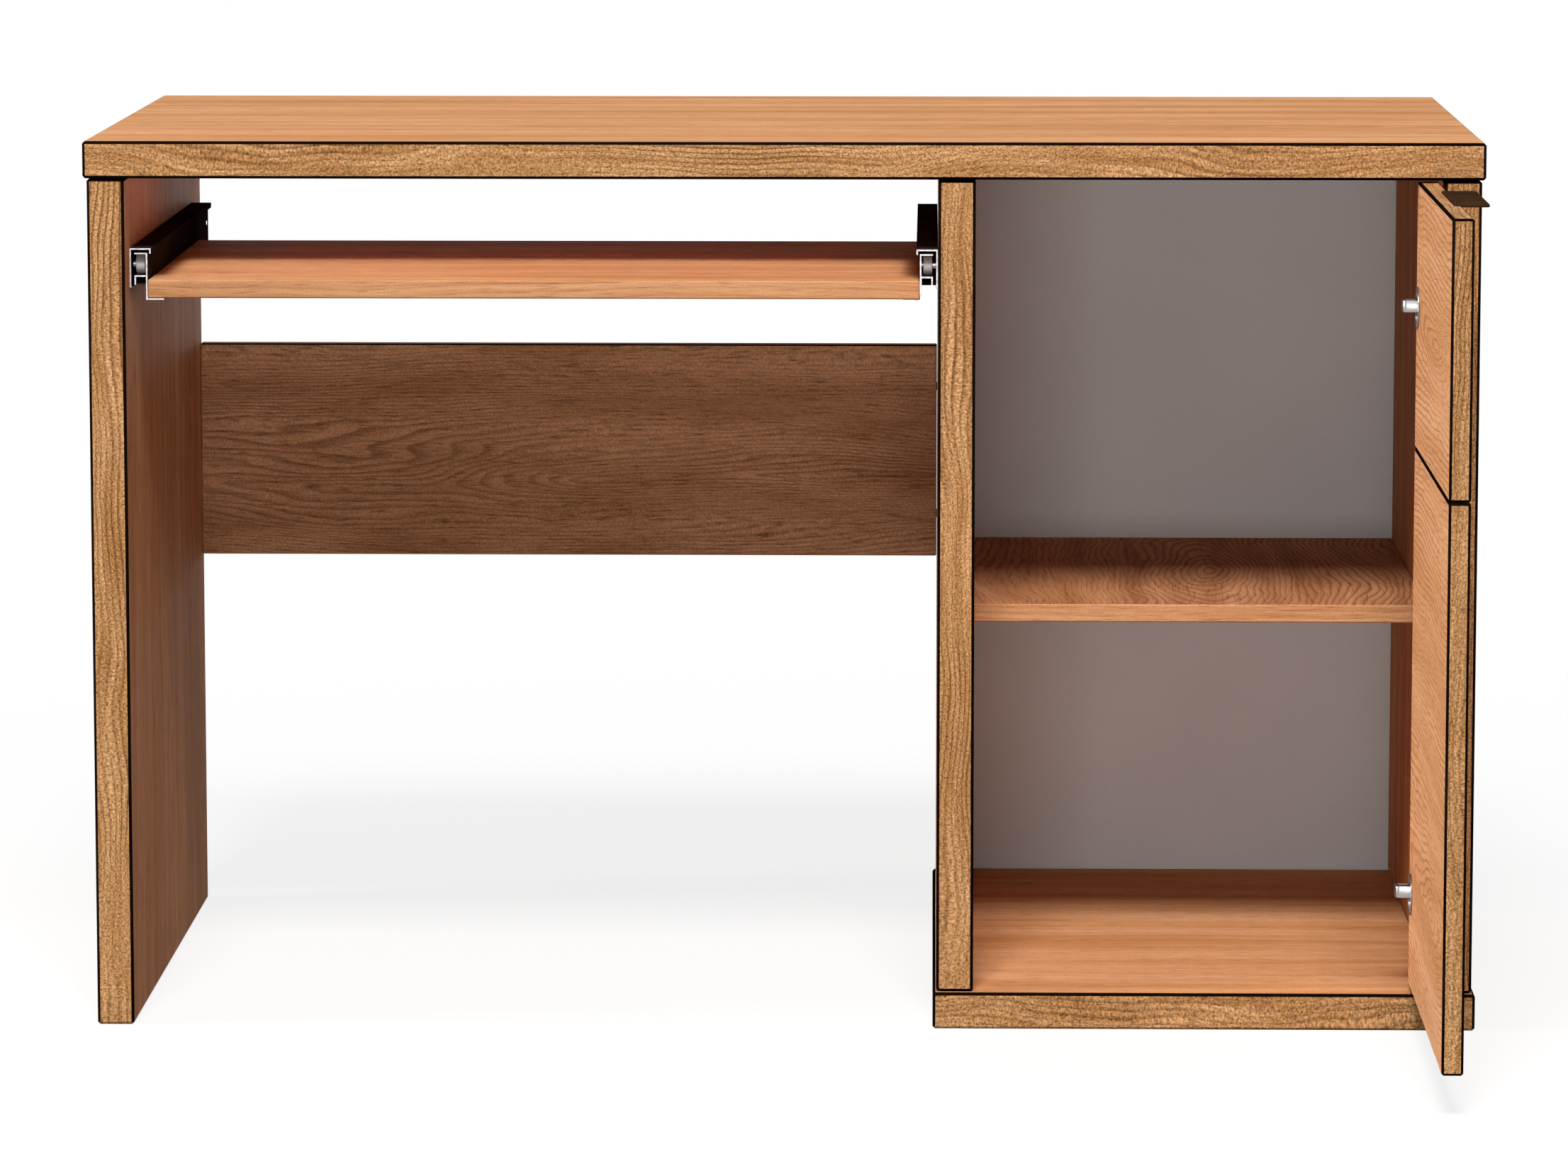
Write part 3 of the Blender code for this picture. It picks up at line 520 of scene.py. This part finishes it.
def dressBoard(node, board, number):
    low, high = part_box(node)
    size = high - low
    centre = (low + high) / 2
    thick = "xyz".index(board["thick"])
    shape = takeNode(node)
    flat, slanted = set(), set()
    for face in shape.faces:
        middle = face.calc_center_median()
        near = [min(middle[i] - low[i], high[i] - middle[i]) for i in range(3)]
        axis = mainAxis(face)
        straight = abs(face.normal[axis])
        if straight > boardEdge["square"] and near[axis] < boardEdge["flush"]:
            flat.add(face)
            face.material_index = faceSide if axis == thick else edgeSide
        elif straight < meshing["squarely"] and sum(n < boardEdge["reach"] for n in near) >= 2:
            slanted.add(face)
            face.material_index = edgeMaterial(face, low, high, board["line"])
        else:
            face.material_index = cutSide
    seams = [
        edge for edge in shape.edges
        if len(slanted & set(edge.link_faces)) == 1 and len(flat & set(edge.link_faces)) == 1
    ]
    for face in roundEdges(shape, seams, boardEdge["soften"]):
        face.material_index = edgeMaterial(face, low, high, board["line"])
    grain = shape.loops.layers.float_vector.new("grain")
    for face in shape.faces:
        axis = mainAxis(face)
        side = 1 if face.normal[axis] > 0 else 2
        others = [i for i in range(3) if i != axis]
        if axis == thick:
            along = "xyz".index(board["grain"])
            apex, heart = board["apex"], board["heart"]
        else:
            along = max(others, key=lambda i: size[i])
            apex, heart = 0.0, boardEdge["bandOffset"] * side
        across = sum(others) - along
        seed = number + boardEdge["seedByAxis"] * axis + boardEdge["seedBySide"] * side
        for loop in face.loops:
            spot = loop.vert.co - centre
            loop[grain] = (spot[along] - apex, spot[across] - heart, boardEdge["seedStep"] * seed)
        face.smooth = face.material_index == lineSide
    materials = [board["face"], board["edge"], finish["edgeLacquer"], finish["chipboard"]]
    givePiece(node + "_decor", shape, materials, node)


for number, (node, board) in enumerate(boards.items()):
    dressBoard(node, board, number)
print("boards dressed:", len(boards))


# Back sheet: grey lacquer to the front and the edges, raw fibre to the rear
def dressBackSheet(node):
    shape = takeNode(node)
    for face in shape.faces:
        face.material_index = 1 if face.normal.y > meshing["squarely"] else 0
    givePiece(node + "_sheet", shape, [finish["hardboardFace"], finish["hardboardRear"]], node)


dressBackSheet("cabinet_back_panel")

# Rails: every bend along the strip is rounded, and the sawn ends stay bright
railBend = {
    "radius": 0.35 * millimetre,
    "along": 0.999,  # least share of a bend's length that runs along the rail
    "sharp": 1.0,  # least angle of a bend, in radians
    "endDepth": 0.1 * millimetre,  # how far from the rail's ends a sawn face may lie
}


def dressRail(node):
    shape = takeNode(node)
    bends = []
    for edge in shape.edges:
        run = edge.verts[1].co - edge.verts[0].co
        lengthwise = abs(run.y) > railBend["along"] * run.length
        if lengthwise and len(edge.link_faces) == 2 and edge.calc_face_angle(0) > railBend["sharp"]:
            bends.append(edge)
    roundEdges(shape, bends, railBend["radius"])
    mergeDoubles(shape)
    low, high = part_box(node)
    for face in shape.faces:
        middle = face.calc_center_median().y
        nearEnd = min(middle - low.y, high.y - middle) < railBend["endDepth"]
        face.material_index = 1 if nearEnd and abs(face.normal.y) > meshing["squarely"] else 0
    givePiece(node + "_rolled", shape, [finish["powderCoat"], finish["cutSteel"]], node)


for side in ("left", "right"):
    dressRail("cabinet_rail_" + side)
    dressRail("tray_rail_" + side)
print("sheet and rails dressed")

# Turned, moulded and pressed pieces, by the start of their names: shaded smooth up to the crease angle in
# degrees, with a softened edge where given, in millimetres
hardware = {
    "front_roller": {"finish": "nylon", "crease": 32, "soften": 0.0},
    "rear_roller": {"finish": "nylon", "crease": 32, "soften": 0.0},
    "front_axle": {"finish": "zinc", "crease": 35, "soften": 0.0},
    "rear_axle": {"finish": "zinc", "crease": 35, "soften": 0.0},
    "shelf_pin": {"finish": "zinc", "crease": 35, "soften": 0.2},
    "hinge_cup": {"finish": "nickel", "crease": 35, "soften": 0.25},
    "hinge_arm": {"finish": "nickel", "crease": 40, "soften": 0.25},
    "hinge_plate": {"finish": "nickel", "crease": 35, "soften": 0.0},
    "hinge_pin": {"finish": "nickel", "crease": 35, "soften": 0.0},
    "door_pull_plate": {"finish": "brownPlate", "crease": 35, "soften": 0.4},
}


def dressHardware(node, look):
    shape = takeNode(node)
    crease = math.radians(look["crease"])
    if look["soften"]:
        rims = [e for e in shape.edges if len(e.link_faces) == 2 and e.calc_face_angle(0) > crease]
        roundEdges(shape, rims, look["soften"] * millimetre)
    piece = givePiece(node + "_finish", shape, [finish[look["finish"]]], node)
    piece.data.shade_smooth()
    piece.data.set_sharp_from_angle(angle=crease)


for node in sorted(frame["nodes"]):
    for start, look in hardware.items():
        if node.startswith(start):
            dressHardware(node, look)
    if "_dowel" in node:
        dowel = frame["nodes"][node].data
        dowel.materials.clear()
        dowel.materials.append(finish["beech"])
print("hardware dressed")

# Screw and nail heads, one tree: a tapered head, a cross recess where asked, set on points that
# carry the direction each head faces. All but sides are shares of the head's radius or height.
headShape = {"sides": 20, "topRadius": 0.72, "slotLength": 1.15, "slotWidth": 0.26, "slotLift": 0.9}


def headTree():
    tree = bpy.data.node_groups.new("fastenerHeads", "GeometryNodeTree")
    tree.interface.new_socket("Points", in_out="INPUT", socket_type="NodeSocketGeometry")
    kinds = {
        "Head Radius": "NodeSocketFloat", "Head Height": "NodeSocketFloat",
        "Recess": "NodeSocketBool", "Finish": "NodeSocketMaterial",
    }
    sockets = {
        name: tree.interface.new_socket(name, in_out="INPUT", socket_type=kind).identifier
        for name, kind in kinds.items()
    }
    tree.interface.new_socket("Heads", in_out="OUTPUT", socket_type="NodeSocketGeometry")
    given = addNode(tree, "NodeGroupInput")
    result = addNode(tree, "NodeGroupOutput")
    radius, height = given.outputs["Head Radius"], given.outputs["Head Height"]
    top, slotLong, slotNarrow, lift = (
        addNode(tree, "ShaderNodeMath", {0: source}, {1: headShape[share]}, operation="MULTIPLY").outputs[0]
        for source, share in (
            (radius, "topRadius"), (radius, "slotLength"), (radius, "slotWidth"), (height, "slotLift"),
        )
    )
    head = addNode(
        tree, "GeometryNodeMeshCone", {"Radius Top": top, "Radius Bottom": radius, "Depth": height},
        {"Vertices": headShape["sides"]},
    )
    driven = addNode(
        tree, "GeometryNodeMeshBoolean", {0: head.outputs["Mesh"]}, operation="DIFFERENCE", solver="EXACT"
    )
    above = addNode(tree, "ShaderNodeCombineXYZ", {2: lift})
    for long, wide in ((slotLong, slotNarrow), (slotNarrow, slotLong)):
        size = addNode(tree, "ShaderNodeCombineXYZ", {0: long, 1: wide, 2: height})
        bar = addNode(tree, "GeometryNodeMeshCube", {"Size": size.outputs[0]})
        cutter = addNode(
            tree, "GeometryNodeTransform", {"Geometry": bar.outputs[0], "Translation": above.outputs[0]}
        )
        tree.links.new(cutter.outputs[0], driven.inputs[1])
    choice = addNode(
        tree, "GeometryNodeSwitch",
        {0: given.outputs["Recess"], 1: head.outputs["Mesh"], 2: driven.outputs["Mesh"]},
        input_type="GEOMETRY",
    )
    facing = addNode(
        tree, "GeometryNodeInputNamedAttribute", None, {"Name": "facing"}, data_type="FLOAT_VECTOR"
    )
    turn = addNode(
        tree, "FunctionNodeAlignRotationToVector", {"Vector": facing.outputs["Attribute"]}, axis="Z"
    )
    spread = addNode(
        tree, "GeometryNodeInstanceOnPoints",
        {"Points": given.outputs["Points"], "Instance": choice.outputs[0], "Rotation": turn.outputs[0]},
    )
    solid = addNode(tree, "GeometryNodeRealizeInstances", {0: spread.outputs[0]})
    painted = addNode(
        tree, "GeometryNodeSetMaterial", {"Geometry": solid.outputs[0], "Material": given.outputs["Finish"]}
    )
    tree.links.new(painted.outputs[0], result.inputs[0])
    return tree, sockets


headNodes, headSockets = headTree()


def setHeads(name, body, spots, look):
    cloud = bpy.data.meshes.new(name + "_points")
    cloud.from_pydata([spot for spot, facing in spots], [], [])
    facings = cloud.attributes.new("facing", "FLOAT_VECTOR", "POINT")
    for i, (spot, facing) in enumerate(spots):
        facings.data[i].vector = facing
    carrier = bpy.data.objects.new(name + "_points", cloud)
    scene.collection.objects.link(carrier)
    modifier = carrier.modifiers.new("heads", "NODES")
    modifier.node_group = headNodes
    modifier[headSockets["Head Radius"]] = look["radius"] * millimetre
    modifier[headSockets["Head Height"]] = look["height"] * millimetre
    modifier[headSockets["Recess"]] = look["recess"]
    modifier[headSockets["Finish"]] = finish[look["finish"]]
    graph = bpy.context.evaluated_depsgraph_get()
    mesh = bpy.data.meshes.new_from_object(carrier.evaluated_get(graph))
    carrier.modifiers.remove(modifier)
    bpy.data.objects.remove(carrier)
    mesh.name = name
    piece = bpy.data.objects.new(name, mesh)
    scene.collection.objects.link(piece)
    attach(piece, body)


# Fasteners, in millimetres
inwards = {"left": 1, "right": -1}  # the way to the middle of the tray from either end, along X

# flat heads inside the cabinet rails, on the rail's web
railScrews = {
    "radius": 3.2, "height": 0.4, "recess": True, "finish": "zinc",
    "fromFront": (75, 235, 445), "web": 1.3,
}
spots = []
for side, inward in inwards.items():
    low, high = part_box("cabinet_rail_" + side)
    wall = (low.x if inward > 0 else high.x) + inward * railScrews["web"] * millimetre
    for fromFront in railScrews["fromFront"]:
        spots.append(((wall, low.y + fromFront * millimetre, (low.z + high.z) / 2), (inward, 0, 0)))
setHeads("rail_screws", "carcass", spots, railScrews)

# under the foot of each tray rail, up into the tray
footScrews = {
    "radius": 3.4, "height": 1.4, "recess": True, "finish": "zinc",
    "fromFront": (50, 200, 350), "inset": 9, "clear": 0.02,
}
spots = []
for side, inward in inwards.items():
    low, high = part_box("tray_rail_" + side)
    line = (high.x if inward > 0 else low.x) - inward * footScrews["inset"] * millimetre
    under = low.z - footScrews["clear"] * millimetre
    for fromFront in footScrews["fromFront"]:
        spots.append(((line, low.y + fromFront * millimetre, under), (0, 0, -1)))
setHeads("tray_screws", "tray", spots, footScrews)

# two in each hinge plate, above and below the arm
plateScrews = {
    "radius": 3.2, "height": 0.8, "recess": True, "finish": "nickel",
    "wing": 2.0, "wingHalf": 9.0, "spread": 16.5,
}
spots = []
for level in ("upper", "lower"):
    low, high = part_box("hinge_plate_" + level)
    wingFace = high.x - plateScrews["wing"] * millimetre
    wingMiddle = low.y + plateScrews["wingHalf"] * millimetre
    for end in (-1, 1):
        height = (low.z + high.z) / 2 + end * plateScrews["spread"] * millimetre
        spots.append(((wingFace, wingMiddle, height), (-1, 0, 0)))
setHeads("hinge_plate_screws", "carcass", spots, plateScrews)

# the clamping and the setting screw on each hinge arm
armScrews = {
    "radius": 2.9, "height": 0.8, "recess": True, "finish": "nickel",
    "fromRear": (30, 11), "cheek": 8.4,
}
spots = []
for level in ("upper", "lower"):
    low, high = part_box("hinge_arm_" + level)
    armFace = high.x - armScrews["cheek"] * millimetre
    for fromRear in armScrews["fromRear"]:
        spots.append(((armFace, high.y - fromRear * millimetre, (low.z + high.z) / 2), (-1, 0, 0)))
setHeads("hinge_arm_screws", "carcass", spots, armScrews)

# two through the pull plate's seat, down into the door's top edge
pullScrews = {"radius": 2.2, "height": 0.25, "recess": True, "finish": "brownPlate", "spread": 45}
low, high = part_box("door_pull_plate")
seatMiddle = (low.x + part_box("door_upper_board")[1].x) / 2
spots = []
for end in (-1, 1):
    along = (low.y + high.y) / 2 + end * pullScrews["spread"] * millimetre
    spots.append(((seatMiddle, along, high.z), (0, 0, 1)))
setHeads("pull_plate_screws", nodeBody["door_pull_plate"], spots, pullScrews)

# round the rim of the back sheet; the lowest row lies higher, in the base board's middle
sheetNails = {
    "radius": 2.4, "height": 0.5, "recess": False, "finish": "zinc",
    "inset": 7, "lowInset": 14, "pitch": 105,
}
low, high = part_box("cabinet_back_panel")
inset, lowInset = sheetNails["inset"] * millimetre, sheetNails["lowInset"] * millimetre
width, height = high.x - low.x - 2 * inset, high.z - low.z - 2 * inset
columns = round(width / (sheetNails["pitch"] * millimetre))
rows = round(height / (sheetNails["pitch"] * millimetre))
spots = []
for i in range(columns + 1):
    for z in (low.z + lowInset, high.z - inset):
        spots.append(((low.x + inset + width * i / columns, high.y, z), (0, 1, 0)))
for i in range(1, rows):
    for x in (low.x + inset, high.x - inset):
        spots.append(((x, high.y, low.z + inset + height * i / rows), (0, 1, 0)))
setHeads("back_sheet_nails", "carcass", spots, sheetNails)
print("fasteners set")


# what the camera sees by itself, in a mirror or through glass
def addSeen(tree):
    path = addNode(tree, "ShaderNodeLightPath")
    direct = addNode(
        tree, "ShaderNodeMath", {0: path.outputs["Is Camera Ray"], 1: path.outputs["Is Glossy Ray"]},
        operation="MAXIMUM",
    )
    return addNode(
        tree, "ShaderNodeMath", {0: direct.outputs[0], 1: path.outputs["Is Transmission Ray"]},
        operation="MAXIMUM",
    )


# puts a lamp or the camera in its place, turned to its target
def aim(item, place, target):
    item.location = place
    item.rotation_mode = "QUATERNION"
    item.rotation_quaternion = (Vector(target) - Vector(place)).to_track_quat("-Z", "Y")
    scene.collection.objects.link(item)


# Floor: pale paper that keeps the desk's shadow and fades to plain white a few steps away
floorLook = {
    "half": 40.0, "seen": "#FAF9F7", "bounce": "#7E7C7A", "roughness": 0.9,
    "fadeStart": 0.9, "fadeEnd": 2.2, "nearWhite": 0.8,  # fade: metres from the middle of the desk
}
half = floorLook["half"]
floorMesh = bpy.data.meshes.new("studioFloor")
floorMesh.from_pydata(
    [(-half, -half, 0), (half, -half, 0), (half, half, 0), (-half, half, 0)], [], [(0, 1, 2, 3)]
)
floor = bpy.data.objects.new("studioFloor", floorMesh)
scene.collection.objects.link(floor)
floorPaint, floorTree, floorShader = startMaterial(
    "floor_paper_matt", {"Roughness": floorLook["roughness"], "Specular IOR Level": 0.0}
)
floorSeen = addSeen(floorTree)
paper = addNode(
    floorTree, "ShaderNodeMix", {0: floorSeen.outputs[0]},
    {6: linear(floorLook["bounce"]), 7: linear(floorLook["seen"])}, data_type="RGBA",
)
floorTree.links.new(paper.outputs[2], floorShader.inputs["Base Color"])
floorPlace = addNode(floorTree, "ShaderNodeTexCoord")
distance = addNode(
    floorTree, "ShaderNodeVectorMath", {0: floorPlace.outputs["Object"]}, operation="LENGTH"
)
fade = addNode(
    floorTree, "ShaderNodeMapRange", {"Value": distance.outputs["Value"]},
    ends(floorLook["fadeStart"], floorLook["fadeEnd"]) | ends(floorLook["nearWhite"], 1.0, "To"),
    interpolation_type="SMOOTHSTEP",
)
fadeSeen = addNode(
    floorTree, "ShaderNodeMath", {0: fade.outputs[0], 1: floorSeen.outputs[0]}, operation="MULTIPLY"
)
glow = addNode(floorTree, "ShaderNodeEmission", None, {"Color": (1, 1, 1, 1), "Strength": 1.0})
floorMix = addNode(
    floorTree, "ShaderNodeMixShader", {0: fadeSeen.outputs[0], 1: floorShader.outputs[0], 2: glow.outputs[0]}
)
floorTree.links.new(floorMix.outputs[0], floorTree.nodes["Material Output"].inputs["Surface"])
floorMesh.materials.append(floorPaint)

# Sky: white to look at, with only a small share of it as light on the desk
skyShare = 0.07
world = bpy.data.worlds.new("evenSky")
world.use_nodes = True
skyTree = world.node_tree
sky = skyTree.nodes["Background"]
skySeen = addSeen(skyTree)
strength = addNode(
    skyTree, "ShaderNodeMapRange", {"Value": skySeen.outputs[0]}, ends(skyShare, 1.0, "To")
)
skyTree.links.new(strength.outputs[0], sky.inputs["Strength"])
sky.inputs["Color"].default_value = (1, 1, 1, 1)
scene.world = world

# Lamps: places and sizes in metres, power in watts, spread in degrees
lamps = {
    # high in front, for the top and all front edges
    "keyLamp": {"place": (-0.1, -6.0, 7.8), "target": (0.1, 0.1, 0.5), "size": (3.0, 2.4), "power": 980},
    # from the left, for the open door's inner face
    "sideLamp": {"place": (-6.5, -0.9, 1.3), "target": (0.5, -0.3, 0.4), "size": (1.2, 1.6), "power": 345},
    # low in front, for the modesty panel and the cabinet's back
    "frontLamp": {"place": (-0.15, -5.6, 0.45), "target": (0.0, 0.2, 0.4), "size": (1.6, 0.8), "power": 55},
    # a narrow strip that reaches under the top, onto the front half of the tray
    "trayLamp": {
        "place": (-0.216, -1.648, 1.1905), "target": (-0.216, -0.108, 0.6925), "size": (0.64, 0.05),
        "power": 0.25, "spread": 0.7,
    },
    # two fills, for the right side and the rear
    "rightLamp": {"place": (4.2, 0.2, 1.1), "target": (0.6, 0.2, 0.4), "size": (1.2, 1.2), "power": 55},
    "rearLamp": {"place": (-0.9, 4.6, 0.45), "target": (0.1, 0.5, 0.4), "size": (1.6, 0.6), "power": 70},
}
for name, lamp in lamps.items():
    light = bpy.data.lights.new(name, "AREA")
    light.shape = "RECTANGLE"
    light.size, light.size_y = lamp["size"]
    light.energy = lamp["power"]
    light.spread = math.radians(lamp.get("spread", 180))
    aim(bpy.data.objects.new(name, light), lamp["place"], lamp["target"])

# Camera: six metres off, a long lens, a little above the top and to the right of the middle
camera = {
    "place": (0.1264, -5.9558, 1.1794), "target": (0.0011, -0.1259, 0.386),
    "lens": 156.9, "sensor": 36.0, "farthest": 200,
}
cameraData = bpy.data.cameras.new("camera")
cameraData.lens = camera["lens"]
cameraData.sensor_width = camera["sensor"]
cameraData.clip_end = camera["farthest"]
cameraItem = bpy.data.objects.new("camera", cameraData)
aim(cameraItem, camera["place"], camera["target"])
scene.camera = cameraItem
scene.view_settings.view_transform = "Standard"
print("stage set")
